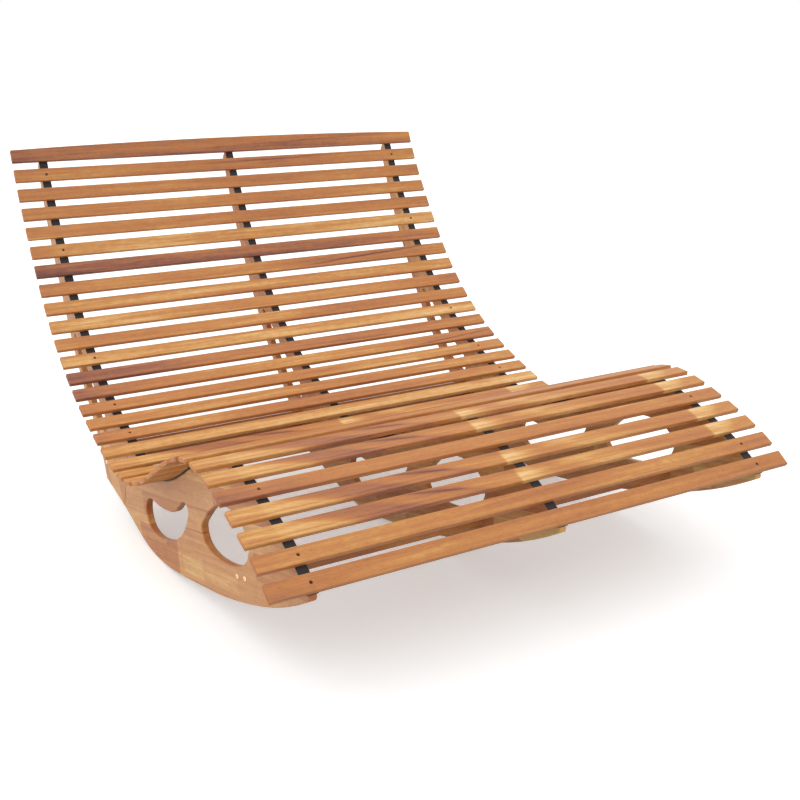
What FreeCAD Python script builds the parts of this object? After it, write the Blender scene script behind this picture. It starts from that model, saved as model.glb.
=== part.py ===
import FreeCAD, Part
import os
from FreeCAD import Vector

# Rocking chaise lounge for two. Millimetres.
# X runs across the lounger, Y from the foot end (minus) to the head end (plus), Z up.
# The origin lies on the floor below the middle of the lounger.
# Left and right are as seen from the foot end.

# The side outline points below are moved by these so that the origin is under the middle
outlineShiftY = -1.55
outlineShiftZ = 0.114

# Slats
slatLength = 1200.0
slatWidth = 34.0
slatThickness = 10.0
slatCount = 35
slatEdgeRadius = 2.0
headSlatCrown = 9.0

# The slats of the seat, first and last, and how much closer together they lie than the others
firstSeatSlat = 19
lastSeatSlat = 29
seatCrowding = 0.9725

# Webbing straps between the slats and the frames
strapWidth = 22.0
strapThickness = 2.0

# Frames
slatOverhang = 80.0
frameSpacing = 0.5 * slatLength - slatOverhang
panelThickness = 16.0
panelEdgeChamfer = 2.0
headCornerRadius = 12.0
noseCornerRadius = 8.0
openingTipRadius = 4.0
cornerReach = 1.0

# Cross rails
railWidth = 60.0
railThickness = 20.0
frontRailY = -475.55
frontRailZ = 145.1
frontRailTilt = -16.4
rearRailY = 285.45
rearRailZ = 128.1
rearRailTilt = 115.1

# Bolts through the outer frames into the rail ends
boltSpacing = 35.0
boltHeadDiameter = 10.5
boltHeadHeight = 2.2
boltShankDiameter = 6.0
boltLength = 62.0

# Slat screws, with the numbers of the slats that have them, counted from the head end
screwedSlatNumbers = [2, 6, 12, 15, 17, 31, 34, 35]
screwHeadDiameter = 7.0
screwHeadDepth = 3.0
screwShankDiameter = 4.0
screwLength = 32.0
screwRecess = 0.8

# The line through the middles of the slats seen from the side: (Y, Z) from the head end to the foot end
slatMiddlePoints = [
    (728.5, 819.5),
    (687, 733.5),
    (603, 599),
    (508, 472),
    (394.5, 363),
    (261.5, 279),
    (114.5, 220.5),
    (20.5, 196),
    (-81, 203.5),
    (-175.5, 245),
    (-263, 300.5),
    (-359, 348.5),
    (-408.5, 358.5),
    (-461, 355),
    (-562, 326),
    (-659.5, 285),
    (-739.5, 231.5),
]

# The rocker edge of the seat panels, from the heel flat to the nose
rockerPoints = [
    (175, 41),
    (123, 26.5),
    (73, 12.5),
    (23, 3),
    (-37, 0),
    (-98, 5),
    (-165, 16),
    (-261, 37),
    (-379, 65),
    (-487, 98.5),
    (-586, 136),
    (-678, 181),
    (-739, 218),
]
heelCorner = (302, 68)

# The rear edge of the back panels, from the heel corner to the head end
rearPoints = [
    (302, 68),
    (351, 152),
    (442, 249),
    (495, 310),
    (584, 443),
    (641, 540),
    (683, 617),
    (718, 697),
    (748, 772),
]

# The joint between a back panel and a seat panel, from the top edge to the rocker
jointPoints = [
    (104, 226),
    (112, 207),
    (130, 194),
    (142, 168),
    (175, 41),
    (179, 20),
]

# Closed openings in the panels
seatOpening = [
    (27, 86),
    (10, 60),
    (-28, 52),
    (-93, 64),
    (-179, 111),
    (-214, 157),
    (-219, 182),
    (-211, 188),
    (-155, 156),
    (-98, 134),
    (-40, 127),
    (8, 122),
]
legOpening = [
    (-290, 168),
    (-300, 149),
    (-330, 138),
    (-390, 141),
    (-460, 160),
    (-500, 193),
    (-506, 222),
    (-485, 245),
    (-440, 259),
    (-387, 253),
    (-335, 224),
    (-303, 192),
]
backOpeningRear = [(509, 388), (478, 330), (450, 290), (410, 250), (363, 208), (328, 189), (305, 184)]
backOpeningFront = [(305, 184), (285, 194), (284, 213), (335, 255), (379, 289), (423, 323), (463, 357), (509, 388)]


def sidePoint(pair):
    return Vector(0, pair[0] + outlineShiftY, pair[1] + outlineShiftZ)


def splineThrough(pairs, closed=False):
    curve = Part.BSplineCurve()
    points = [sidePoint(pair) for pair in pairs]
    if closed:
        curve.interpolate(Points=points, PeriodicFlag=True)
    else:
        curve.interpolate(Points=points)
    return curve


# The slats are spread over the whole line, about 19 mm apart
slatCurve = splineThrough(slatMiddlePoints)
seatSteps = lastSeatSlat - firstSeatSlat
wideSteps = slatCount - 1 - seatSteps
slatPitch = (slatCurve.length() - slatWidth) / (wideSteps + seatSteps * seatCrowding)


def slatStation(number):
    """Middle of the face of a slat, its direction down the curve and the way to its back."""
    stepsInSeat = min(max(number - firstSeatSlat, 0), seatSteps)
    otherSteps = number - 1 - stepsInSeat
    fromHead = 0.5 * slatWidth + slatPitch * (otherSteps + seatCrowding * stepsInSeat)
    parameter = slatCurve.parameterAtDistance(fromHead, slatCurve.FirstParameter)
    along = slatCurve.tangent(parameter)[0]
    along.normalize()
    back = Vector(1, 0, 0).cross(along) * -1
    if back.z > 0:
        back = back * -1
    middle = slatCurve.value(parameter) - back * (0.5 * slatThickness)
    return middle, along, back


stations = {number: slatStation(number) for number in range(1, slatCount + 1)}


def sidePrism(wire, middleX, width):
    face = Part.Face(wire)
    prism = face.extrude(Vector(width, 0, 0))
    prism.translate(Vector(middleX - 0.5 * width, 0, 0))
    return prism


def slatAt(number):
    middle, along, back = stations[number]
    halfLength = 0.5 * slatLength
    upper = middle - along * (0.5 * slatWidth)
    lower = middle + along * (0.5 * slatWidth)
    across = Vector(halfLength, 0, 0)
    bottomEdge = Part.makeLine(lower - across, lower + across)
    rightEdge = Part.makeLine(lower + across, upper + across)
    leftEdge = Part.makeLine(upper - across, lower - across)
    if number == 1:
        crown = upper - along * headSlatCrown
        topEdge = Part.Arc(upper + across, crown, upper - across).toShape()
    else:
        topEdge = Part.makeLine(upper + across, upper - across)
    face = Part.Face(Part.Wire([bottomEdge, rightEdge, topEdge, leftEdge]))
    slat = face.extrude(back * slatThickness)
    return slat.makeFillet(slatEdgeRadius, slat.Edges)


def frameTopCurve():
    depth = slatThickness + strapThickness
    points = []
    for number in range(1, slatCount + 1):
        middle, along, back = stations[number]
        points.append(middle + back * depth)
    middle, along, back = stations[slatCount]
    points.append(middle + along * (0.5 * slatWidth) + back * depth)
    middle, along, back = stations[1]
    points.insert(0, middle - along * (0.5 * slatWidth) + back * depth)
    curve = Part.BSplineCurve()
    curve.interpolate(Points=points)
    return curve


topCurve = frameTopCurve()


def strapAt(middleX):
    corners = []
    for number in range(1, slatCount + 1):
        middle, along, back = stations[number]
        corners.append(middle - along * (0.5 * slatWidth) + back * slatThickness)
        corners.append(middle + along * (0.5 * slatWidth) + back * slatThickness)
    upperEdges = [Part.makeLine(a, b) for a, b in zip(corners[:-1], corners[1:])]
    lower = topCurve.toShape()
    first = lower.valueAt(lower.FirstParameter)
    last = lower.valueAt(lower.LastParameter)
    closing = [Part.makeLine(corners[-1], last), Part.makeLine(first, corners[0])]
    wire = Part.Wire(Part.__sortEdges__(upperEdges + closing + [lower]))
    return sidePrism(wire, middleX, strapWidth)


def frameOutline():
    """One frame seen from the side, back panel and seat panel together."""
    headParameter = topCurve.parameter(stations[1][0] + stations[1][2] * (slatThickness + strapThickness))
    top = topCurve.toShape(headParameter, topCurve.LastParameter)
    headPoint = top.valueAt(top.FirstParameter)
    nosePoint = top.valueAt(top.LastParameter)
    rocker = splineThrough(rockerPoints).toShape()
    rear = splineThrough(rearPoints).toShape()
    heel = Part.makeLine(sidePoint(rockerPoints[0]), sidePoint(heelCorner))
    nose = Part.makeLine(sidePoint(rockerPoints[-1]), nosePoint)
    head = Part.makeLine(sidePoint(rearPoints[-1]), headPoint)
    return Part.Wire(Part.__sortEdges__([top, nose, rocker, heel, rear, head]))


def roundCorners(solid, radius, places):
    """Rounds the edges across the panel that pass near the given side points."""
    chosen = []
    for edge in solid.Edges:
        ends = [vertex.Point for vertex in edge.Vertexes]
        if len(ends) != 2 or abs(ends[0].x - ends[1].x) < 0.5 * panelThickness:
            continue
        for place in places:
            if abs(ends[0].y - place.y) < cornerReach and abs(ends[0].z - place.z) < cornerReach:
                chosen.append(edge)
    return solid.makeFillet(radius, chosen)


def closedOpening(curves):
    wire = Part.Wire([curve.toShape() for curve in curves])
    return sidePrism(wire, 0, 3 * panelThickness)


def frameWithOpenings():
    frame = sidePrism(frameOutline(), 0, panelThickness)
    headPoint = stations[1][0] + stations[1][2] * (slatThickness + strapThickness)
    frame = roundCorners(frame, headCornerRadius, [headPoint, sidePoint(rearPoints[-1])])
    frame = roundCorners(frame, noseCornerRadius, [sidePoint(rockerPoints[-1])])
    frame = frame.cut(closedOpening([splineThrough(seatOpening, True)]))
    frame = frame.cut(closedOpening([splineThrough(legOpening, True)]))
    backOpening = closedOpening([splineThrough(backOpeningRear), splineThrough(backOpeningFront)])
    corners = [sidePoint(backOpeningRear[0]), sidePoint(backOpeningRear[-1])]
    return frame.cut(roundCorners(backOpening, openingTipRadius, corners))


def seatSide():
    """Everything on the foot side of the joint between the two panels."""
    joint = splineThrough(jointPoints).toShape()
    start = sidePoint(jointPoints[0])
    end = sidePoint(jointPoints[-1])
    reach = slatLength
    lowRight = Vector(0, end.y, -reach)
    lowLeft = Vector(0, -reach, -reach)
    highLeft = Vector(0, -reach, reach)
    highRight = Vector(0, start.y, reach)
    corners = [end, lowRight, lowLeft, highLeft, highRight, start]
    edges = [Part.makeLine(a, b) for a, b in zip(corners[:-1], corners[1:])]
    return sidePrism(Part.Wire(Part.__sortEdges__(edges + [joint])), 0, 2 * panelThickness)


def softenOutline(panel):
    """Eases the long edges of both faces of a panel."""
    chosen = [edge for edge in panel.Edges if edge.BoundBox.XLength < 0.01]
    eased = panel.makeChamfer(panelEdgeChamfer, chosen)
    if not eased.isValid():
        print("panel edges left sharp")
        return panel
    return eased


def railAt(middleY, middleZ, tilt):
    length = 2 * frameSpacing - panelThickness
    rail = Part.makeBox(length, railWidth, railThickness, Vector(-0.5 * length, -0.5 * railWidth, -0.5 * railThickness))
    rail.rotate(Vector(0, 0, 0), Vector(1, 0, 0), tilt)
    rail.translate(Vector(0, middleY, middleZ))
    return rail


def boltAt(side, middleY, middleZ, tilt, place):
    outerFace = frameSpacing + 0.5 * panelThickness
    shank = Part.makeCylinder(0.5 * boltShankDiameter, boltLength, Vector(0, 0, 0), Vector(-1, 0, 0))
    head = Part.makeCylinder(0.5 * boltHeadDiameter, boltHeadHeight, Vector(0, 0, 0), Vector(1, 0, 0))
    rim = [edge for edge in head.Edges if edge.BoundBox.XMin > 0.5 * boltHeadHeight]
    head = head.makeFillet(0.4 * boltHeadHeight, rim)
    bolt = shank.fuse(head).removeSplitter()
    bolt.translate(Vector(outerFace, place * 0.5 * boltSpacing, 0))
    bolt.rotate(Vector(0, 0, 0), Vector(1, 0, 0), tilt)
    if side < 0:
        bolt = bolt.mirror(Vector(0, 0, 0), Vector(1, 0, 0))
    bolt.translate(Vector(0, middleY, middleZ))
    return bolt


def screwAt(number, middleX):
    """A countersunk screw whose head sits a little below the face of the slat."""
    middle, along, back = stations[number]
    headRadius = 0.5 * screwHeadDiameter
    shankRadius = 0.5 * screwShankDiameter
    start = middle + Vector(middleX, 0, 0) + back * screwRecess
    head = Part.makeCone(headRadius, shankRadius, screwHeadDepth, start, back)
    shankLength = screwLength - screwHeadDepth
    shank = Part.makeCylinder(shankRadius, shankLength, start + back * screwHeadDepth, back)
    return head.fuse(shank).removeSplitter()


def screwClearing(number, middleX):
    middle, along, back = stations[number]
    start = middle + Vector(middleX, 0, 0) - back * screwRecess
    return Part.makeCylinder(0.5 * screwHeadDiameter, 2 * screwRecess, start, back)


frameNames = {"left": -frameSpacing, "middle": 0.0, "right": frameSpacing}
outerFrames = ["left", "right"]

slats = {number: slatAt(number) for number in range(1, slatCount + 1)}
straps = {name: strapAt(x) for name, x in frameNames.items()}

rails = {
    "front_cross_rail": railAt(frontRailY, frontRailZ, frontRailTilt),
    "rear_cross_rail": railAt(rearRailY, rearRailZ, rearRailTilt),
}
bolts = []
for side in (-1, 1):
    for place in (-1, 1):
        bolts.append(boltAt(side, frontRailY, frontRailZ, frontRailTilt, place))
        bolts.append(boltAt(side, rearRailY, rearRailZ, rearRailTilt, place))
for name in rails:
    for bolt in bolts:
        rails[name] = rails[name].cut(bolt)

screws = []
for number in screwedSlatNumbers:
    for name in outerFrames:
        x = frameNames[name]
        screw = screwAt(number, x)
        screws.append(screw)
        slats[number] = slats[number].cut(screwClearing(number, x)).cut(screw)
        straps[name] = straps[name].cut(screw)

wholeFrame = frameWithOpenings()
backPanelPattern = softenOutline(wholeFrame.cut(seatSide()))
seatPanelPattern = softenOutline(wholeFrame.common(seatSide()))
backPanels = {}
seatPanels = {}
for name, x in frameNames.items():
    backPanel = backPanelPattern.translated(Vector(x, 0, 0))
    seatPanel = seatPanelPattern.translated(Vector(x, 0, 0))
    if name == "middle":
        seatPanel = seatPanel.cut(rails["front_cross_rail"])
        backPanel = backPanel.cut(rails["rear_cross_rail"])
    else:
        for fastener in bolts + screws:
            if abs(fastener.BoundBox.Center.x - x) < 0.5 * frameSpacing:
                seatPanel = seatPanel.cut(fastener)
                backPanel = backPanel.cut(fastener)
    backPanels[name] = backPanel
    seatPanels[name] = seatPanel

nodes = {}
for number in range(1, slatCount + 1):
    nodes["slat_%02d" % number] = slats[number]
for name in frameNames:
    nodes["strap_" + name] = straps[name]
    nodes["back_panel_" + name] = backPanels[name]
    nodes["seat_panel_" + name] = seatPanels[name]
for name in rails:
    nodes[name] = rails[name]
nodes["rail_bolts"] = Part.makeCompound(bolts)
nodes["slat_screws"] = Part.makeCompound(screws)

os.makedirs("parts", exist_ok=True)
for name, shape in nodes.items():
    solids = shape.Solids
    if not shape.isValid() or not solids:
        print("PROBLEM", name, shape.isValid(), len(solids))
    if len(solids) == 1:
        shape = solids[0]
    shape.exportStep("parts/" + name + ".step")

everything = Part.makeCompound(list(nodes.values()))
box = everything.BoundBox
print("nodes", len(nodes))
print("extents", round(box.XMin, 1), round(box.XMax, 1), round(box.YMin, 1), round(box.YMax, 1), round(box.ZMin, 1), round(box.ZMax, 1))
print("slat gap", round(slatPitch - slatWidth, 2))
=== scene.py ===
import math

import bmesh
import bpy
from mathutils import Matrix, Vector


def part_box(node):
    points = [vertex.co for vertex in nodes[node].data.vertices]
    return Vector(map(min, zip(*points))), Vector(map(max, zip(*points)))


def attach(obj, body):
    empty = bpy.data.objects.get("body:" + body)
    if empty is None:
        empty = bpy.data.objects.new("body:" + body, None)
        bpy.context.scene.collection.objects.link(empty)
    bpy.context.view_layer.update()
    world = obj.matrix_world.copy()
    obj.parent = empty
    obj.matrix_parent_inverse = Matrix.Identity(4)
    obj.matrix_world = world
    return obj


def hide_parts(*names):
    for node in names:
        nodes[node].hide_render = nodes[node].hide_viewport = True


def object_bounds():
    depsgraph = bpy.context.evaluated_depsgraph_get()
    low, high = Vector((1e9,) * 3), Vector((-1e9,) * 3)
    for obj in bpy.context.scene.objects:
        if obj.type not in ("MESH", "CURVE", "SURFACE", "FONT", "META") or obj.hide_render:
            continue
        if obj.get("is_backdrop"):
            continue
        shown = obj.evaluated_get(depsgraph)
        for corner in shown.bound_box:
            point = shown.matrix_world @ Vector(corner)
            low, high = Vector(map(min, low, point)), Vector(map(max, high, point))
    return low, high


# Rocking chaise lounge for two, in oiled acacia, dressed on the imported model
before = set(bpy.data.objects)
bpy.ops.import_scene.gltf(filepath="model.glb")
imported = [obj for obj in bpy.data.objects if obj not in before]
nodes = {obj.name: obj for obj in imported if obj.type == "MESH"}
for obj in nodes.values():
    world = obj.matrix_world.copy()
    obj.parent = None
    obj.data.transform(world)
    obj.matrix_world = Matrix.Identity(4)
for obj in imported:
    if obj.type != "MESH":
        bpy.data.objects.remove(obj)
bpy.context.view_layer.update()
print("frame loaded:", len(nodes), "nodes")

slatCount = len([name for name in nodes if name.startswith("slat_") and name[-2:].isdigit()])
frameSides = ("left", "middle", "right")


def hexColour(value):
    # an sRGB hex value as the linear colour that a shader socket takes
    channels = [int(value[i:i + 2], 16) / 255 for i in (1, 3, 5)]
    linear = [c / 12.92 if c <= 0.04045 else ((c + 0.055) / 1.055) ** 2.4 for c in channels]
    return (*linear, 1.0)


def addNode(material, kind, settings=None, links=None):
    # settings are node properties or socket values, links are sockets fed by (node, output)
    tree = material.node_tree
    node = tree.nodes.new(kind)
    for key, value in (settings or {}).items():
        if isinstance(key, str) and hasattr(node, key):
            setattr(node, key, value)
        else:
            node.inputs[key].default_value = value
    for key, (source, output) in (links or {}).items():
        tree.links.new(source.outputs[output], node.inputs[key])
    return node


def newMaterial(name):
    material = bpy.data.materials.new(name)
    material.use_nodes = True
    material.node_tree.nodes.clear()
    return material


def fillRamp(ramp, stops):
    # a stop is a position with an sRGB hex colour or with a plain level from 0 to 1
    elements = ramp.color_ramp.elements
    while len(elements) > 1:
        elements.remove(elements[-1])
    colours = [hexColour(value) if isinstance(value, str) else (value, value, value, 1.0)
               for _, value in stops]
    elements[0].position, elements[0].color = stops[0][0], colours[0]
    for (position, _), colour in zip(stops[1:], colours[1:]):
        elements.new(position).color = colour


def levelBetween(material, source, start, end, stops):
    # a level read from stops that are laid out between two places on the source
    place = addNode(material, "ShaderNodeMapRange", {"From Min": start, "From Max": end}, {"Value": source})
    level = addNode(material, "ShaderNodeValToRGB", None, {"Fac": (place, 0)})
    fillRamp(level, stops)
    return level


def dress(piece, material):
    piece.data.materials.clear()
    piece.data.materials.append(material)


# Oiled acacia, planed and sanded: plum heartwood to pale sapwood, long streaks, fine dark lines and a low
# sheen. Each layer is a noise drawn out along the grain: length and width are in metres, start keeps the
# layers apart, part is the stretch of the noise that is used, and depth is how far it moves the wood through
# its tones.
acacia = {
    "streaks": {"length": 0.26, "width": 0.010, "start": 0, "detail": 3.0, "rough": 0.5, "bend": 0.5,
                "part": (0.28, 0.72), "depth": 0.30},
    # faint bars of light across the grain: the wavy figure of the fibres, with its chatoyant sheen painted
    # into the tone
    "ripple": {"length": 0.022, "width": 0.011, "start": 37, "detail": 2.0, "rough": 0.5, "bend": 0.0,
               "part": (0.3, 0.7), "depth": 0.10},
    # growth lines, drawn about twice as coarse as the real ones so that they show
    "lines": {"length": 0.085, "width": 0.0015, "start": 11, "detail": 2.0, "rough": 0.6, "bend": 0.0,
              "part": (0.3, 0.7), "depth": 0.16},
    "pores": {"length": 0.011, "width": 0.0007, "start": 23, "detail": 1.0, "rough": 0.5, "bend": 0.0,
              "part": (0.28, 0.42)},
    "seedSteps": (1.0, 2.3, 3.7),  # how far a seed moves the noise, so that no two pieces are alike
    "poreColour": "#c2aa98",
    "poreStrength": 0.55,
    "endGrain": "#f6dfc6",         # the ends soak up more oil and look darker
    "bump": 0.00015,
    "bumpStrength": 0.5,
    "roughness": (0.42, 0.58),
    "ior": 1.5,
}
slatTones = [(0.0, "#6e3c2f"), (0.20, "#95583d"), (0.35, "#ab6b43"), (0.50, "#bd7840"), (0.62, "#c58246"),
             (0.72, "#cd8f4b"), (0.82, "#dba360"), (0.92, "#e4b371"), (1.0, "#efc78e")]
panelTones = [(0.0, "#8e5334"), (0.25, "#af6b3f"), (0.45, "#c27d4a"), (0.62, "#cb8f57"),
              (0.80, "#d89e64"), (1.0, "#e8bf7a")]


def grainNoise(material, grain, layer, seed):
    # the grain runs along X of the coordinates
    stepX, stepY, stepZ = acacia["seedSteps"]
    along, across, start = 1 / layer["length"], 1 / layer["width"], layer["start"]
    drawnOut = addNode(material, "ShaderNodeVectorMath",
                       {"operation": "MULTIPLY_ADD", 1: (along, across, across),
                        2: (stepX * seed + start, stepY * seed + start, stepZ * seed)}, {0: grain})
    return addNode(material, "ShaderNodeTexNoise",
                   {"Scale": 1.0, "Detail": layer["detail"], "Roughness": layer["rough"],
                    "Distortion": layer["bend"]}, {"Vector": (drawnOut, 0)})


def oiledWood(material, grain, level, endGrain, tones, seed):
    # level is the tone that the layers play around, and endGrain is 1 where the grain runs into the surface
    noises = {name: grainNoise(material, grain, acacia[name], seed)
              for name in ("streaks", "ripple", "lines", "pores")}
    tone = level
    for name in ("streaks", "ripple", "lines"):
        (low, high), depth = acacia[name]["part"], acacia[name]["depth"]
        moved = addNode(material, "ShaderNodeMapRange",
                        {"From Min": low, "From Max": high, "To Min": -0.5 * depth, "To Max": 0.5 * depth},
                        {"Value": (noises[name], "Fac")})
        tone = (addNode(material, "ShaderNodeMath", {"operation": "ADD"}, {0: tone, 1: (moved, 0)}), 0)
    wood = addNode(material, "ShaderNodeValToRGB", None, {"Fac": tone})
    fillRamp(wood, tones)
    dots = addNode(material, "ShaderNodeValToRGB", None, {"Fac": (noises["pores"], "Fac")})
    deep, none = acacia["pores"]["part"]
    fillRamp(dots, [(deep, acacia["poreColour"]), (none, "#ffffff")])
    pored = addNode(material, "ShaderNodeMix",
                    {"data_type": "RGBA", "blend_type": "MULTIPLY", 0: acacia["poreStrength"]},
                    {6: (wood, 0), 7: (dots, 0)})
    ended = addNode(material, "ShaderNodeMix",
                    {"data_type": "RGBA", "blend_type": "MULTIPLY", 7: hexColour(acacia["endGrain"])},
                    {0: endGrain, 6: (pored, 2)})
    sheen = addNode(material, "ShaderNodeMapRange",
                    {"To Min": acacia["roughness"][0], "To Max": acacia["roughness"][1]},
                    {"Value": (noises["lines"], "Fac")})
    bump = addNode(material, "ShaderNodeBump",
                   {"Distance": acacia["bump"], "Strength": acacia["bumpStrength"]},
                   {"Height": (noises["lines"], "Fac")})
    skin = addNode(material, "ShaderNodeBsdfPrincipled", {"IOR": acacia["ior"]},
                   {"Base Color": (ended, 2), "Roughness": (sheen, 0), "Normal": (bump, 0)})
    addNode(material, "ShaderNodeOutputMaterial", None, {"Surface": (skin, 0)})


# Slats, in metres
slats = {
    "halfLength": 0.6,
    "halfWidth": 0.017,
    "back": 0.005,                 # from the middle of the thickness to the back
    "endStrip": 0.02,              # the last stretch of a slat, with only the corners of its end in it
    "waveScale": 9.0,              # soft waves in the tone, about 0.11 m long
    "wave": 0.12,                  # how far they carry it along the slat
    "streakWander": 0.006,
    "streakHalfWidth": 0.0045,
    "streakFade": (0.25, 0.85),    # a streak grows to its full depth, and fades after the second place
    "streakTail": 0.3,             # what is left of one that runs out at the slat's end
    "streakRunsOut": 0.9,
    "endFacing": (0.5, 0.9),       # from none to all of the end grain's colour, by how a face looks along X
    "seedStep": 7.31,
}


def turnedAxes(turn):
    # up along the width of a board that is turned about X, and out of its face
    return Vector((0, math.cos(turn), math.sin(turn))), Vector((0, -math.sin(turn), math.cos(turn)))


def slatSection(number):
    # middle of a slat, its direction up the curve and the way out of its face, read from its solid's end
    end = slats["halfLength"] - slats["endStrip"]
    points = [v.co for v in nodes["slat_%02d" % number].data.vertices if v.co.x > end]
    spots = {(round(p.y, 6), round(p.z, 6)) for p in points}
    meanY = sum(y for y, _ in spots) / len(spots)
    meanZ = sum(z for _, z in spots) / len(spots)
    yy = sum((y - meanY) ** 2 for y, _ in spots)
    zz = sum((z - meanZ) ** 2 for _, z in spots)
    yz = sum((y - meanY) * (z - meanZ) for y, z in spots)
    turn = 0.5 * math.atan2(2 * yz, yy - zz)
    up, out = turnedAxes(turn)
    alongSpan = [up.y * y + up.z * z for y, z in spots]
    outSpan = [out.y * y + out.z * z for y, z in spots]
    middle = (up * 0.5 * (min(alongSpan) + max(alongSpan))
              + out * 0.5 * (min(outSpan) + max(outSpan)))
    return {"middle": middle, "up": up, "out": out, "turn": turn}


sections = {number: slatSection(number) for number in range(1, slatCount + 1)}

# How each slat looks. tone: level along its length, from the left end (0) to the right end (1).
# across: the same from its lower to its upper edge, 0.5 for no change. streak: a dark line, from (place
# along, metres above the middle) to (the same), and its depth.
edgeLight = [(0.0, 0.68), (0.25, 0.52), (1.0, 0.48)]
topDark = [(0.0, 0.56), (0.65, 0.52), (0.9, 0.34)]
slatLooks = {
    1: {"tone": [(0.0, 0.21), (0.12, 0.34), (0.75, 0.39), (0.88, 0.45), (1.0, 0.57)],
        "streak": ((0.36, -0.008), (0.94, 0.016), 0.18), "across": [(0.0, 0.36), (0.45, 0.54), (1.0, 0.62)]},
    2: {"tone": [(0.0, 0.55), (0.15, 0.60), (0.45, 0.50), (0.60, 0.47), (0.75, 0.58), (0.9, 0.64)],
        "streak": ((0.40, 0.003), (1.0, 0.016), 0.24)},
    3: {"tone": [(0.0, 0.52), (0.2, 0.60), (0.6, 0.52), (0.8, 0.60), (1.0, 0.55)]},
    4: {"tone": [(0.0, 0.55), (0.4, 0.62), (0.6, 0.50), (0.8, 0.60), (1.0, 0.62)]},
    5: {"tone": [(0.0, 0.60), (0.3, 0.56), (0.5, 0.48), (0.7, 0.52), (1.0, 0.51)], "across": edgeLight},
    6: {"tone": [(0.0, 0.54), (0.07, 0.70), (0.25, 0.80), (0.45, 0.72), (0.7, 0.80), (1.0, 0.86)]},
    7: {"tone": [(0.0, 0.16), (0.1, 0.23), (0.4, 0.32), (0.7, 0.33), (0.85, 0.44), (1.0, 0.56)],
        "across": [(0.0, 0.38), (0.5, 0.46), (1.0, 0.62)]},
    8: {"tone": [(0.0, 0.51), (0.15, 0.63), (0.45, 0.63), (0.62, 0.44), (0.78, 0.42), (0.9, 0.53),
                 (1.0, 0.65)], "streak": ((0.58, -0.011), (0.99, 0.017), 0.42)},
    9: {"tone": [(0.0, 0.67), (0.3, 0.75), (0.6, 0.65), (1.0, 0.75)],
        "across": [(0.0, 0.34), (0.3, 0.54), (0.7, 0.54), (1.0, 0.34)]},
    10: {"tone": [(0.0, 0.79), (0.2, 0.75), (0.4, 0.64), (0.7, 0.68), (0.9, 0.58), (1.0, 0.48)]},
    11: {"tone": [(0.0, 0.59), (0.15, 0.49), (0.35, 0.71), (0.5, 0.65), (0.62, 0.45), (0.8, 0.53),
                  (1.0, 0.63)]},
    12: {"tone": [(0.0, 0.74), (0.5, 0.78), (1.0, 0.82)], "across": topDark},
    13: {"tone": [(0.0, 0.13), (0.12, 0.26), (0.3, 0.48), (0.5, 0.46), (0.65, 0.42), (0.85, 0.54),
                  (1.0, 0.58)], "streak": ((0.45, -0.004), (0.75, -0.010), 0.14)},
    14: {"tone": [(0.0, 0.21), (0.1, 0.41), (0.25, 0.63), (0.5, 0.71), (0.7, 0.65), (0.85, 0.50),
                  (1.0, 0.45)], "streak": ((0.74, -0.016), (1.0, 0.004), 0.36)},
    15: {"tone": [(0.0, 0.50), (0.2, 0.62), (0.5, 0.60), (0.7, 0.72), (1.0, 0.66)]},
    16: {"tone": [(0.0, 0.60), (0.2, 0.72), (0.45, 0.62), (0.6, 0.52), (0.8, 0.66), (1.0, 0.70)]},
    17: {"tone": [(0.0, 0.50), (0.2, 0.70), (0.4, 0.47), (0.55, 0.45), (0.75, 0.60), (1.0, 0.64)]},
    18: {"tone": [(0.0, 0.70), (0.1, 0.78), (0.6, 0.80), (1.0, 0.86)], "across": topDark},
    20: {"tone": [(0.0, 0.72), (0.2, 0.60), (0.5, 0.50), (1.0, 0.60)]},
    23: {"tone": [(0.0, 0.70), (0.4, 0.60), (1.0, 0.64)]},
    25: {"tone": [(0.0, 0.70), (0.3, 0.54), (1.0, 0.56)]},
    26: {"tone": [(0.0, 0.62), (0.5, 0.58), (1.0, 0.62)]},
    27: {"tone": [(0.0, 0.56), (0.3, 0.46), (1.0, 0.52)]},
    28: {"tone": [(0.0, 0.66), (0.3, 0.56), (0.7, 0.54), (1.0, 0.62)]},
    31: {"tone": [(0.0, 0.30), (0.08, 0.42), (0.2, 0.54), (0.5, 0.56), (1.0, 0.60)],
         "across": [(0.0, 0.48), (0.75, 0.50), (0.95, 0.64)]},
    34: {"tone": [(0.0, 0.54), (0.15, 0.68), (0.4, 0.54), (0.55, 0.54), (0.75, 0.70), (1.0, 0.50)]},
    35: {"tone": [(0.0, 0.47), (0.2, 0.61), (0.5, 0.53), (0.7, 0.55), (1.0, 0.49)]},
}
# The other slats are glued end to end from shorter lengths, all in the same way. steps is added to the tone
# where one length meets the next, and lean is how far the flame figure runs along for each metre across.
joinedLook = {
    "tone": [(0.0, 0.70), (0.07, 0.78), (0.11, 0.78), (0.145, 0.50), (0.18, 0.30), (0.23, 0.26),
             (0.27, 0.46), (0.31, 0.54), (0.35, 0.34), (0.40, 0.60), (0.46, 0.62), (0.55, 0.56),
             (0.60, 0.74), (0.66, 0.74), (0.72, 0.58), (0.80, 0.60), (0.89, 0.56), (0.96, 0.66), (1.0, 0.64)],
    "steps": [(0.0, 0.0), (0.052, 0.0), (0.056, 0.06), (0.10, 0.0), (0.472, 0.0), (0.475, 0.28),
              (0.50, 0.24), (0.54, 0.0), (0.893, 0.0), (0.897, 0.34), (0.93, 0.30), (0.96, 0.06), (1.0, 0.0)],
    "streak": ((0.26, 0.016), (0.38, -0.004), 0.28),
    "lean": 3.4,
    "seed": 5.0,
}


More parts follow.
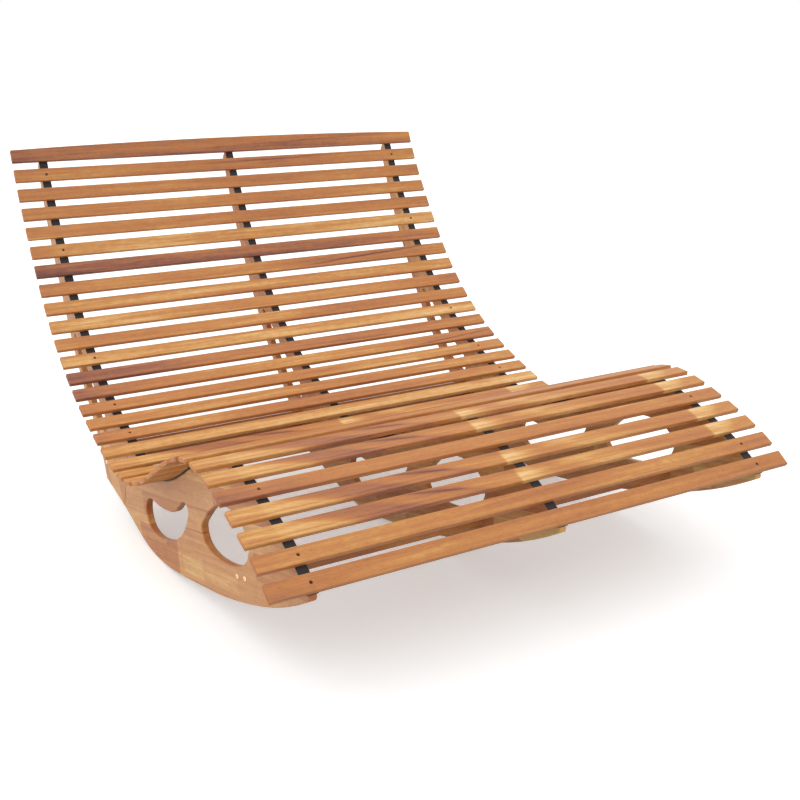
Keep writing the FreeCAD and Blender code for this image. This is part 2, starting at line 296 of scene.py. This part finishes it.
def darkStreak(material, level, axes, soft, streak):
    # lowers the level along a line that runs from one place on the slat to another
    (startAlong, startUp), (endAlong, endUp), depth = streak
    startX = (2 * startAlong - 1) * slats["halfLength"]
    endX = (2 * endAlong - 1) * slats["halfLength"]
    slope = (endUp - startUp) / (endX - startX)
    line = addNode(material, "ShaderNodeMath", {"operation": "MULTIPLY_ADD", 1: -slope},
                   {0: (axes, "X"), 2: (axes, "Y")})
    wander = addNode(material, "ShaderNodeMath", {"operation": "MULTIPLY_ADD", 1: slats["streakWander"]},
                     {0: (soft, "Fac"), 2: (line, 0)})
    height = startUp - slope * startX + 0.5 * slats["streakWander"]
    offset = addNode(material, "ShaderNodeMath", {"operation": "SUBTRACT", 1: height}, {0: (wander, 0)})
    apart = addNode(material, "ShaderNodeMath", {"operation": "ABSOLUTE"}, {0: (offset, 0)})
    dark = addNode(material, "ShaderNodeMapRange",
                   {"interpolation_type": "SMOOTHSTEP", "From Max": slats["streakHalfWidth"],
                    "To Min": -depth, "To Max": 0.0}, {"Value": (apart, 0)})
    grown, fading = slats["streakFade"]
    tail = slats["streakTail"] if endAlong > slats["streakRunsOut"] else 0.0
    window = levelBetween(material, (axes, "X"), startX, endX,
                          [(0.0, 0.0), (grown, 1.0), (fading, 1.0), (1.0, tail)])
    return addNode(material, "ShaderNodeMath", {"operation": "MULTIPLY_ADD"},
                   {0: (dark, 0), 1: (window, 0), 2: (level, 0)})


def slatMaterial(name, section, look, seed):
    # X runs along the slat, Y up its width and Z out of its face, all from its middle
    material = newMaterial(name)
    middle, up, out = section["middle"], section["up"], section["out"]
    halfLength, halfWidth = slats["halfLength"], slats["halfWidth"]
    place = addNode(material, "ShaderNodeTexCoord")
    flat = addNode(material, "ShaderNodeMapping",
                   {"Location": (0, -middle.dot(up), -middle.dot(out)), "Rotation": (-section["turn"], 0, 0)},
                   {"Vector": (place, "Object")})
    axes = addNode(material, "ShaderNodeSeparateXYZ", None, {"Vector": (flat, 0)})
    lean = addNode(material, "ShaderNodeMath", {"operation": "MULTIPLY_ADD", 1: look.get("lean", 0.0)},
                   {0: (axes, "Y"), 2: (axes, "X")})
    grain = addNode(material, "ShaderNodeCombineXYZ", None,
                    {"X": (lean, 0), "Y": (axes, "Y"), "Z": (axes, "Z")})
    soft = addNode(material, "ShaderNodeTexNoise", {"Scale": slats["waveScale"], "Detail": 1.0},
                   {"Vector": (grain, 0)})
    wavy = addNode(material, "ShaderNodeMath", {"operation": "MULTIPLY_ADD", 1: slats["wave"]},
                   {0: (soft, "Fac"), 2: (lean, 0)})
    carried = 0.5 * slats["wave"]
    level = levelBetween(material, (wavy, 0), carried - halfLength, carried + halfLength, look["tone"])
    if "steps" in look:
        steps = levelBetween(material, (axes, "X"), -halfLength, halfLength, look["steps"])
        level = addNode(material, "ShaderNodeMath", {"operation": "ADD"}, {0: (level, 0), 1: (steps, 0)})
    if "across" in look:
        edges = levelBetween(material, (axes, "Y"), -halfWidth, halfWidth, look["across"])
        centred = addNode(material, "ShaderNodeMath", {"operation": "SUBTRACT", 1: 0.5}, {0: (edges, 0)})
        level = addNode(material, "ShaderNodeMath", {"operation": "ADD"}, {0: (level, 0), 1: (centred, 0)})
    if "streak" in look:
        level = darkStreak(material, level, axes, soft, look["streak"])
    facing = addNode(material, "ShaderNodeSeparateXYZ", None, {"Vector": (place, "Normal")})
    ends = addNode(material, "ShaderNodeMath", {"operation": "ABSOLUTE"}, {0: (facing, "X")})
    none, full = slats["endFacing"]
    endGrain = addNode(material, "ShaderNodeMapRange", {"From Min": none, "From Max": full},
                       {"Value": (ends, 0)})
    oiledWood(material, (grain, 0), (level, 0), (endGrain, 0), slatTones, seed)
    return material


for number in range(1, slatCount + 1):
    name = "slat_%02d" % number
    look = slatLooks.get(number, joinedLook)
    seed = look.get("seed", slats["seedStep"] * number)
    dress(nodes[name], slatMaterial("oiled_acacia_" + name, sections[number], look, seed))

# Rails: flat boards of the same wood, a little darker, turned about their length
rails = {
    "front_cross_rail": {"turn": math.radians(-16.4), "seed": 400},
    "rear_cross_rail": {"turn": math.radians(115.1), "seed": 413},
}
railLook = {"tone": [(0.0, 0.42), (0.5, 0.50), (1.0, 0.44)]}
for name, rail in rails.items():
    low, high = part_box(name)
    up, out = turnedAxes(rail["turn"])
    rail.update({"middle": 0.5 * (Vector(low) + Vector(high)), "up": up, "out": out})
    dress(nodes[name], slatMaterial("oiled_acacia_" + name, rail, railLook, rail["seed"]))
print("slats and rails oiled:", slatCount + len(rails))


# Panels: staves of the same wood glued edge to edge and end to end, so the tone steps from one to the next
staves = {
    "width": 0.052,
    "length": 0.46,
    "seat": {"grainTurn": math.radians(-14), "seed": 31},
    "back": {"grainTurn": math.radians(56), "seed": 61},
    "seedStep": 7,                 # from one frame to the next
    "shift": 0.037,                # where the joints of the left frame lie, and how far they move to the next
    "shiftStep": 0.121,
    "rise": 0.6,                   # how much of the shift is across the grain
    "tone": 0.60,
    "spread": 0.46,                # how much lighter or darker one stave is than another
    "grainJump": (5.3, 0.71, 0),   # from the grain of one stave to the next one's
}
# single staves that stand out: middle along and across the grain, half length, half width, change of tone
accents = {
    "seat_panel_left": [(-0.020, 0.040, 0.113, 0.044, -0.34), (-0.245, 0.130, 0.075, 0.022, 0.30),
                        (-0.30, 0.028, 0.14, 0.018, 0.12)],
    "seat_panel_middle": [(-0.560, 0.116, 0.075, 0.020, 0.45)],
    "seat_panel_right": [(-0.410, 0.190, 0.090, 0.022, 0.45)],
}


def panelMaterial(name, grainTurn, shift, seed, marks):
    # the panel lies in the YZ plane and its grain runs along Y, turned about X
    material = newMaterial(name)
    place = addNode(material, "ShaderNodeTexCoord")
    turned = addNode(material, "ShaderNodeMapping",
                     {"Location": (0, shift, staves["rise"] * shift), "Rotation": (-grainTurn, 0, 0)},
                     {"Vector": (place, "Object")})
    axes = addNode(material, "ShaderNodeSeparateXYZ", None, {"Vector": (turned, 0)})
    rows = addNode(material, "ShaderNodeMath", {"operation": "DIVIDE", 1: staves["width"]}, {0: (axes, "Z")})
    row = addNode(material, "ShaderNodeMath", {"operation": "FLOOR"}, {0: (rows, 0)})
    bond = addNode(material, "ShaderNodeTexWhiteNoise", {"noise_dimensions": "1D"}, {"W": (row, 0)})
    lengths = addNode(material, "ShaderNodeMath", {"operation": "MULTIPLY_ADD", 1: 1 / staves["length"]},
                      {0: (axes, "Y"), 2: (bond, "Value")})
    stave = addNode(material, "ShaderNodeMath", {"operation": "FLOOR"}, {0: (lengths, 0)})
    spot = addNode(material, "ShaderNodeCombineXYZ", None, {"X": (row, 0), "Y": (stave, 0)})
    pick = addNode(material, "ShaderNodeTexWhiteNoise", {"noise_dimensions": "2D"}, {"Vector": (spot, 0)})
    level = addNode(material, "ShaderNodeMapRange",
                    {"To Min": staves["tone"] - 0.5 * staves["spread"],
                     "To Max": staves["tone"] + 0.5 * staves["spread"]}, {"Value": (pick, "Value")})
    for middleY, middleZ, halfLength, halfWidth, change in marks:
        inside = [addNode(material, "ShaderNodeMath", {"operation": "COMPARE", 1: middle, 2: half},
                          {0: (axes, axis)})
                  for axis, middle, half in (("Y", middleY, halfLength), ("Z", middleZ, halfWidth))]
        both = addNode(material, "ShaderNodeMath", {"operation": "MULTIPLY"},
                       {0: (inside[0], 0), 1: (inside[1], 0)})
        level = addNode(material, "ShaderNodeMath", {"operation": "MULTIPLY_ADD", 1: change},
                        {0: (both, 0), 2: (level, 0)})
    own = addNode(material, "ShaderNodeCombineXYZ", None,
                  {"X": (axes, "Y"), "Y": (axes, "Z"), "Z": (axes, "X")})
    grain = addNode(material, "ShaderNodeVectorMath", {"operation": "MULTIPLY_ADD", 1: staves["grainJump"]},
                    {0: (spot, 0), 2: (own, 0)})
    along = addNode(material, "ShaderNodeVectorMath",
                    {"operation": "DOT_PRODUCT", 1: (0, math.cos(grainTurn), math.sin(grainTurn))},
                    {0: (place, "Normal")})
    ends = addNode(material, "ShaderNodeMath", {"operation": "ABSOLUTE"}, {0: (along, "Value")})
    oiledWood(material, (grain, 0), (level, 0), (ends, 0), panelTones, seed)
    return material


for place, side in enumerate(frameSides):
    shift = staves["shift"] + staves["shiftStep"] * place
    for kind in ("seat", "back"):
        name = "%s_panel_%s" % (kind, side)
        seed = staves[kind]["seed"] + staves["seedStep"] * place
        dress(nodes[name], panelMaterial("glued_acacia_" + name, staves[kind]["grainTurn"], shift, seed,
                                         accents.get(name, [])))
print("frames oiled")

sharpAngle = math.radians(30)
sortWay = Vector((1.0, 0.7321, 0.4142))


def finishPiece(mesh, name, material, replaced):
    # extruding makes faces in another order each run, so they are put in order along a slanting line
    mesh.edges.sort(key=lambda edge: (edge.verts[0].co + edge.verts[1].co).dot(sortWay))
    mesh.faces.sort(key=lambda face: face.calc_center_median().dot(sortWay))
    data = bpy.data.meshes.new(name)
    mesh.to_mesh(data)
    mesh.free()
    piece = bpy.data.objects.new(name, data)
    bpy.context.scene.collection.objects.link(piece)
    data.materials.append(material)
    for face in data.polygons:
        face.use_smooth = True
    data.set_sharp_from_angle(angle=sharpAngle)
    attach(piece, "root")
    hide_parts(*replaced)


# Webbing: polypropylene ribbon, woven in dull black with fine ribs along it, and a soft painted sheen that
# makes the raised ribs and picks lighter
webbing = {
    "width": 0.022,
    "thickness": 0.0018,
    "clearance": 0.0001,           # under the backs of the slats
    "roundness": 0.0006,
    "ribSpacing": 0.0020,          # real ribs are near 1 mm apart, drawn coarser so that they show
    "pickSpacing": 0.0024,
    "ribScale": 0.31,              # one band of the wave for each rib
    "pickTurn": math.radians(45),  # the picks are a check that stands on its corners
    "pickScale": 1.4,
    "pickShare": 0.5,
    "dark": "#0d0d0f",
    # painted sheen: the colour of the raised ribs and picks
    "light": "#26262a",
    "bump": 0.0004,
    "bumpStrength": 0.7,
    "roughness": 0.62,
    "ior": 1.49,
}


def webbingMaterial():
    material = newMaterial("black_polypropylene_webbing")
    weave = addNode(material, "ShaderNodeUVMap", {"uv_map": "weave"})
    counted = addNode(material, "ShaderNodeVectorMath",
                      {"operation": "MULTIPLY", 1: (1 / webbing["ribSpacing"], 1 / webbing["pickSpacing"], 1)},
                      {0: (weave, 0)})
    turned = addNode(material, "ShaderNodeMapping", {"Rotation": (0, 0, webbing["pickTurn"])},
                     {"Vector": (counted, 0)})
    picks = addNode(material, "ShaderNodeTexChecker", {"Scale": webbing["pickScale"]}, {"Vector": (turned, 0)})
    ribs = addNode(material, "ShaderNodeTexWave",
                   {"wave_type": "BANDS", "bands_direction": "X", "Scale": webbing["ribScale"]},
                   {"Vector": (counted, 0)})
    height = addNode(material, "ShaderNodeMath", {"operation": "MULTIPLY_ADD", 1: webbing["pickShare"]},
                     {0: (picks, "Fac"), 2: (ribs, "Fac")})
    # the weave's height sets the colour, from dull black up to a lighter painted sheen on the raised threads
    colour = addNode(material, "ShaderNodeValToRGB", None, {"Fac": (height, 0)})
    fillRamp(colour, [(0.1, webbing["dark"]), (1.0, webbing["light"])])
    bump = addNode(material, "ShaderNodeBump",
                   {"Distance": webbing["bump"], "Strength": webbing["bumpStrength"]}, {"Height": (height, 0)})
    skin = addNode(material, "ShaderNodeBsdfPrincipled",
                   {"Roughness": webbing["roughness"], "IOR": webbing["ior"]},
                   {"Base Color": (colour, 0), "Normal": (bump, 0)})
    addNode(material, "ShaderNodeOutputMaterial", None, {"Surface": (skin, 0)})
    return material


def makeStrap(side, material):
    # one ribbon under the backs of all the slats, drawn out from its end ring slat by slat
    low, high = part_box("strap_" + side)
    middleX = 0.5 * (low[0] + high[0])
    depth = slats["back"] + webbing["clearance"] + 0.5 * webbing["thickness"]
    stops = []
    for section in sections.values():
        for place in (1, -1):
            stops.append(section["middle"] + section["up"] * place * slats["halfWidth"]
                         - section["out"] * depth)
    halfWidth, halfThick = 0.5 * webbing["width"], 0.5 * webbing["thickness"]
    flat = halfWidth - webbing["roundness"]
    corners = [(flat, halfThick), (halfWidth, 0.0), (flat, -halfThick),
               (-flat, -halfThick), (-halfWidth, 0.0), (-flat, halfThick)]

    def station(index):
        # where the ring stands at a stop, square to the ribbon
        place, last = stops[index], len(stops) - 1
        along = (stops[max(index - 1, 0)] - stops[min(index + 1, last)]).normalized()
        return Matrix(((1, 0, 0, middleX), (0, along.y, -along.z, place.y),
                       (0, along.z, along.y, place.z), (0, 0, 0, 1)))

    mesh = bmesh.new()
    travel = mesh.verts.layers.float.new("travel")
    current = station(0)
    ring = [mesh.verts.new(current @ Vector((x, 0, z))) for x, z in corners]
    edges = [mesh.edges.new((ring[i - 1], ring[i])) for i in range(len(ring))]
    mesh.faces.new(ring)
    run = 0.0
    for index in range(1, len(stops)):
        grown = bmesh.ops.extrude_edge_only(mesh, edges=edges)["geom"]
        ring = [item for item in grown if isinstance(item, bmesh.types.BMVert)]
        edges = [item for item in grown if isinstance(item, bmesh.types.BMEdge)]
        following = station(index)
        bmesh.ops.transform(mesh, matrix=following @ current.inverted(), verts=ring)
        current = following
        run += (stops[index] - stops[index - 1]).length
        for vertex in ring:
            vertex[travel] = run
    bmesh.ops.holes_fill(mesh, edges=edges, sides=len(edges))
    bmesh.ops.recalc_face_normals(mesh, faces=mesh.faces)
    weave = mesh.loops.layers.uv.new("weave")
    for face in mesh.faces:
        for loop in face.loops:
            loop[weave].uv = (loop.vert.co.x - middleX, loop.vert[travel])
    finishPiece(mesh, "webbing_strap_" + side, material, ["strap_" + side])


blackWebbing = webbingMaterial()
for side in frameSides:
    makeStrap(side, blackWebbing)
print("straps drawn")


# Fasteners: zinc-plated steel, cold headed. The bolts keep the warm tint of their passivated coat, the screws
# are blackened, and both have fine handling marks that break up the shine
steel = {
    "markScale": 900.0,            # marks a little over 1 mm wide
    "markColours": [(0.3, "#d8d2cc"), (0.6, "#ffffff")],
    "roughnessPlay": 0.07,
    "bump": 0.00005,
    "bumpStrength": 0.5,
}
boltHead = {
    "radius": 0.00525,
    "height": 0.0022,
    "flatRadius": 0.0032,
    "rimShare": 0.15,              # height of the rim, of the whole head
    "domeSteps": 5,
    "hexagon": 0.0020,             # from the middle to a flat of the key socket
    "socketDepth": 0.0015,
    "shankRadius": 0.003,
    "shankLength": 0.062,
    "seat": 0.528,                 # how far out the heads sit, on the outer panels
    "apart": 0.0175,               # from the middle of the rail to a bolt
    "colour": "#f4d3b2",
    "roughness": 0.26,
}
screwHead = {
    "slats": (2, 6, 12, 15, 17, 31, 34, 35),
    "row": 0.520,                  # how far from the middle the two rows run
    "flatRadius": 0.0027,
    "radius": 0.00305,
    "edge": 0.0002,                # drop from the flat to the widest ring
    "sink": 0.0016,                # how far the head lies below the face of the slat
    "headDepth": 0.0024,
    "crossLong": 0.0019,
    "crossShort": 0.0006,
    "crossArm": math.radians(18),  # half the angle of one arm
    "crossDepth": 0.0013,
    "shankRadius": 0.0018,
    "length": 0.029,
    "pointStart": 0.9,             # share of the length above the point
    "tipRadius": 0.0004,
    "colour": "#5e4d3e",
    "roughness": 0.42,
}
fastenerSides = 24
socketInset = 0.3                  # first ring inside the flat top, of its radius
socketTaper = 0.8                  # width of the socket's floor, of its mouth


def steelMaterial(name, colour, roughness):
    material = newMaterial(name)
    place = addNode(material, "ShaderNodeTexCoord")
    marks = addNode(material, "ShaderNodeTexNoise", {"Scale": steel["markScale"], "Detail": 2.0},
                    {"Vector": (place, "Object")})
    tint = addNode(material, "ShaderNodeValToRGB", None, {"Fac": (marks, "Fac")})
    fillRamp(tint, steel["markColours"])
    coat = addNode(material, "ShaderNodeMix",
                   {"data_type": "RGBA", "blend_type": "MULTIPLY", 0: 1.0, 6: hexColour(colour)},
                   {7: (tint, 0)})
    sheen = addNode(material, "ShaderNodeMapRange",
                    {"To Min": roughness - steel["roughnessPlay"],
                     "To Max": roughness + steel["roughnessPlay"]}, {"Value": (marks, "Fac")})
    bump = addNode(material, "ShaderNodeBump",
                   {"Distance": steel["bump"], "Strength": steel["bumpStrength"]}, {"Height": (marks, "Fac")})
    skin = addNode(material, "ShaderNodeBsdfPrincipled", {"Metallic": 1.0},
                   {"Base Color": (coat, 2), "Roughness": (sheen, 0), "Normal": (bump, 0)})
    addNode(material, "ShaderNodeOutputMaterial", None, {"Surface": (skin, 0)})
    return material


def pullRing(mesh, edges, radius, newRadius, drop):
    # draws the open rim out into another ring, wider or narrower and lower, and gives its edges
    grown = bmesh.ops.extrude_edge_only(mesh, edges=edges)["geom"]
    rim = [item for item in grown if isinstance(item, bmesh.types.BMVert)]
    bmesh.ops.scale(mesh, vec=(newRadius / radius, newRadius / radius, 1), verts=rim)
    bmesh.ops.translate(mesh, vec=(0, 0, -drop), verts=rim)
    return [item for item in grown if isinstance(item, bmesh.types.BMEdge)]


def turnedFastener(socket, depth, profile):
    # a flat top with a key socket sunk in it, then rings of (radius, height) down to the tip
    radius, height = profile[0]
    mesh = bmesh.new()
    bmesh.ops.create_circle(mesh, cap_ends=True, radius=radius, segments=fastenerSides)
    bmesh.ops.translate(mesh, vec=(0, 0, height), verts=mesh.verts)
    top = list(mesh.faces)
    bmesh.ops.inset_region(mesh, faces=top, thickness=socketInset * radius, use_boundary=True)
    for vertex in top[0].verts:
        angle = math.atan2(vertex.co.y, vertex.co.x)
        reach = socket(angle)
        vertex.co.x, vertex.co.y = reach * math.cos(angle), reach * math.sin(angle)
    sunk = bmesh.ops.extrude_discrete_faces(mesh, faces=top)["faces"]
    bmesh.ops.scale(mesh, vec=(socketTaper, socketTaper, 1), verts=sunk[0].verts)
    bmesh.ops.translate(mesh, vec=(0, 0, -depth), verts=sunk[0].verts)
    rim = [edge for edge in mesh.edges if edge.is_boundary]
    for newRadius, newHeight in profile[1:]:
        rim = pullRing(mesh, rim, radius, newRadius, height - newHeight)
        radius, height = newRadius, newHeight
    bmesh.ops.holes_fill(mesh, edges=rim, sides=fastenerSides)
    bmesh.ops.recalc_face_normals(mesh, faces=mesh.faces)
    data = bpy.data.meshes.new("fastener_pattern")
    mesh.to_mesh(data)
    mesh.free()
    return data


def placeAll(pattern, places):
    mesh = bmesh.new()
    for place in places:
        before = len(mesh.verts)
        mesh.from_mesh(pattern)
        mesh.verts.ensure_lookup_table()
        bmesh.ops.transform(mesh, matrix=place, verts=mesh.verts[before:])
    return mesh


def hexSocket(angle):
    corner = math.radians(60)
    return boltHead["hexagon"] / math.cos((angle % corner) - 0.5 * corner)


def crossSocket(angle):
    quarter = math.radians(90)
    apart = abs(((angle + 0.5 * quarter) % quarter) - 0.5 * quarter)
    return screwHead["crossLong"] if apart < screwHead["crossArm"] else screwHead["crossShort"]


def facingMatrix(place, direction):
    return Matrix.Translation(place) @ direction.to_track_quat("Z", "X").to_matrix().to_4x4()


boltProfile = [(boltHead["flatRadius"], boltHead["height"])]
for step in range(1, boltHead["domeSteps"] + 1):
    angle = math.radians(90 * step / boltHead["domeSteps"])
    radius = boltHead["flatRadius"] + (boltHead["radius"] - boltHead["flatRadius"]) * math.sin(angle)
    share = boltHead["rimShare"] + (1 - boltHead["rimShare"]) * math.cos(angle)
    boltProfile.append((radius, boltHead["height"] * share))
boltProfile += [(boltHead["radius"], 0.0), (boltHead["shankRadius"], 0.0),
                (boltHead["shankRadius"], -boltHead["shankLength"])]
boltPlaces = []
for rail in rails.values():
    for end in (-1, 1):
        for step in (-1, 1):
            place = rail["middle"] + rail["up"] * step * boltHead["apart"]
            place.x = end * boltHead["seat"]
            boltPlaces.append(facingMatrix(place, Vector((end, 0, 0))))
boltPattern = turnedFastener(hexSocket, boltHead["socketDepth"], boltProfile)
finishPiece(placeAll(boltPattern, boltPlaces), "rail_bolt_set",
            steelMaterial("zinc_plated_steel_bolts", boltHead["colour"], boltHead["roughness"]),
            ["rail_bolts"])

screwProfile = [(screwHead["flatRadius"], 0.0), (screwHead["radius"], -screwHead["edge"]),
                (screwHead["shankRadius"], -screwHead["headDepth"]),
                (screwHead["shankRadius"], -screwHead["pointStart"] * screwHead["length"]),
                (screwHead["tipRadius"], -screwHead["length"])]
screwPlaces = []
for number in screwHead["slats"]:
    section = sections[number]
    for end in (-1, 1):
        place = section["middle"] + section["out"] * (slats["back"] - screwHead["sink"])
        place.x = end * screwHead["row"]
        screwPlaces.append(facingMatrix(place, section["out"]))
screwPattern = turnedFastener(crossSocket, screwHead["crossDepth"], screwProfile)
finishPiece(placeAll(screwPattern, screwPlaces), "slat_screw_set",
            steelMaterial("blackened_steel_screws", screwHead["colour"], screwHead["roughness"]),
            ["slat_screws"])
print("bolts and screws set:", len(boltPlaces), len(screwPlaces))

# Studio: a very wide soft sun from the upper left, an even world and a white floor that keeps the shadow
studio = {
    "floorSize": 40.0,
    "floorColour": "#fdffff",      # as it is seen
    "floorBounce": "#9c9c9c",      # as it lights the undersides
    "floorGlow": 0.27,             # white that is only seen and lights nothing, so the shadow stays pale
    "worldLight": 0.75,
    "sunStrength": 1.52,
    "sunAngle": 130.0,
    "sunFrom": (-1.0, -0.10, 1.0),
}


def viewRays(tree):
    # 1 for what is seen straight, mirrored or through something, 0 for the light that falls on things
    rays = addNode(tree, "ShaderNodeLightPath")
    mirrored = addNode(tree, "ShaderNodeMath", {"operation": "MAXIMUM"},
                       {0: (rays, "Is Glossy Ray"), 1: (rays, "Is Transmission Ray")})
    return addNode(tree, "ShaderNodeMath", {"operation": "MAXIMUM"},
                   {0: (rays, "Is Camera Ray"), 1: (mirrored, 0)})


def makeFloor():
    mesh = bmesh.new()
    bmesh.ops.create_grid(mesh, x_segments=1, y_segments=1, size=0.5 * studio["floorSize"])
    data = bpy.data.meshes.new("studio_floor")
    mesh.to_mesh(data)
    mesh.free()
    floor = bpy.data.objects.new("studio_floor", data)
    bpy.context.scene.collection.objects.link(floor)
    floor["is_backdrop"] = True
    paint = newMaterial("matt_white_floor")
    looking = viewRays(paint)
    share = addNode(paint, "ShaderNodeMath", {"operation": "MULTIPLY", 1: studio["floorGlow"]},
                    {0: (looking, 0)})
    seen = addNode(paint, "ShaderNodeMix",
                   {"data_type": "RGBA", 6: hexColour(studio["floorBounce"]),
                    7: hexColour(studio["floorColour"])}, {0: (looking, 0)})
    matt = addNode(paint, "ShaderNodeBsdfDiffuse", None, {"Color": (seen, 2)})
    glow = addNode(paint, "ShaderNodeEmission", {"Color": (1, 1, 1, 1)}, {"Strength": (share, 0)})
    skin = addNode(paint, "ShaderNodeAddShader", None, {0: (matt, 0), 1: (glow, 0)})
    addNode(paint, "ShaderNodeOutputMaterial", None, {"Surface": (skin, 0)})
    data.materials.append(paint)


def makeLight():
    sunData = bpy.data.lights.new("soft_overhead_light", "SUN")
    sunData.energy = studio["sunStrength"]
    sunData.angle = math.radians(studio["sunAngle"])
    sun = bpy.data.objects.new("soft_overhead_light", sunData)
    sun.rotation_euler = Vector(studio["sunFrom"]).to_track_quat("Z", "Y").to_euler()
    bpy.context.scene.collection.objects.link(sun)

    world = bpy.data.worlds.new("even_light")
    bpy.context.scene.world = world
    world.use_nodes = True
    world.node_tree.nodes.clear()
    strength = addNode(world, "ShaderNodeMapRange", {"To Min": studio["worldLight"], "To Max": 1.0},
                       {"Value": (viewRays(world), 0)})
    glow = addNode(world, "ShaderNodeBackground", {"Color": (1, 1, 1, 1)}, {"Strength": (strength, 0)})
    addNode(world, "ShaderNodeOutputWorld", None, {"Surface": (glow, 0)})


makeFloor()
makeLight()

# Camera at the photograph's viewing angle; its numbers are for an 800 by 800 frame
view = {
    "place": (-1.2998, -2.2071, 1.0955),
    "downTilt": 13.955,
    "heading": 30.168,
    "lens": 50.969,
    "sensor": 36.0,
    "shift": (0.0587, -0.10),
}
cameraData = bpy.data.cameras.new("photo_camera")
cameraData.sensor_width = view["sensor"]
cameraData.lens = view["lens"]
cameraData.shift_x, cameraData.shift_y = view["shift"]
camera = bpy.data.objects.new("photo_camera", cameraData)
camera.location = view["place"]
camera.rotation_euler = (math.radians(90 - view["downTilt"]), 0, math.radians(-view["heading"]))
bpy.context.scene.collection.objects.link(camera)
bpy.context.scene.camera = camera
bpy.context.scene.view_settings.view_transform = "Standard"
print("studio and camera set")

low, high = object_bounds()
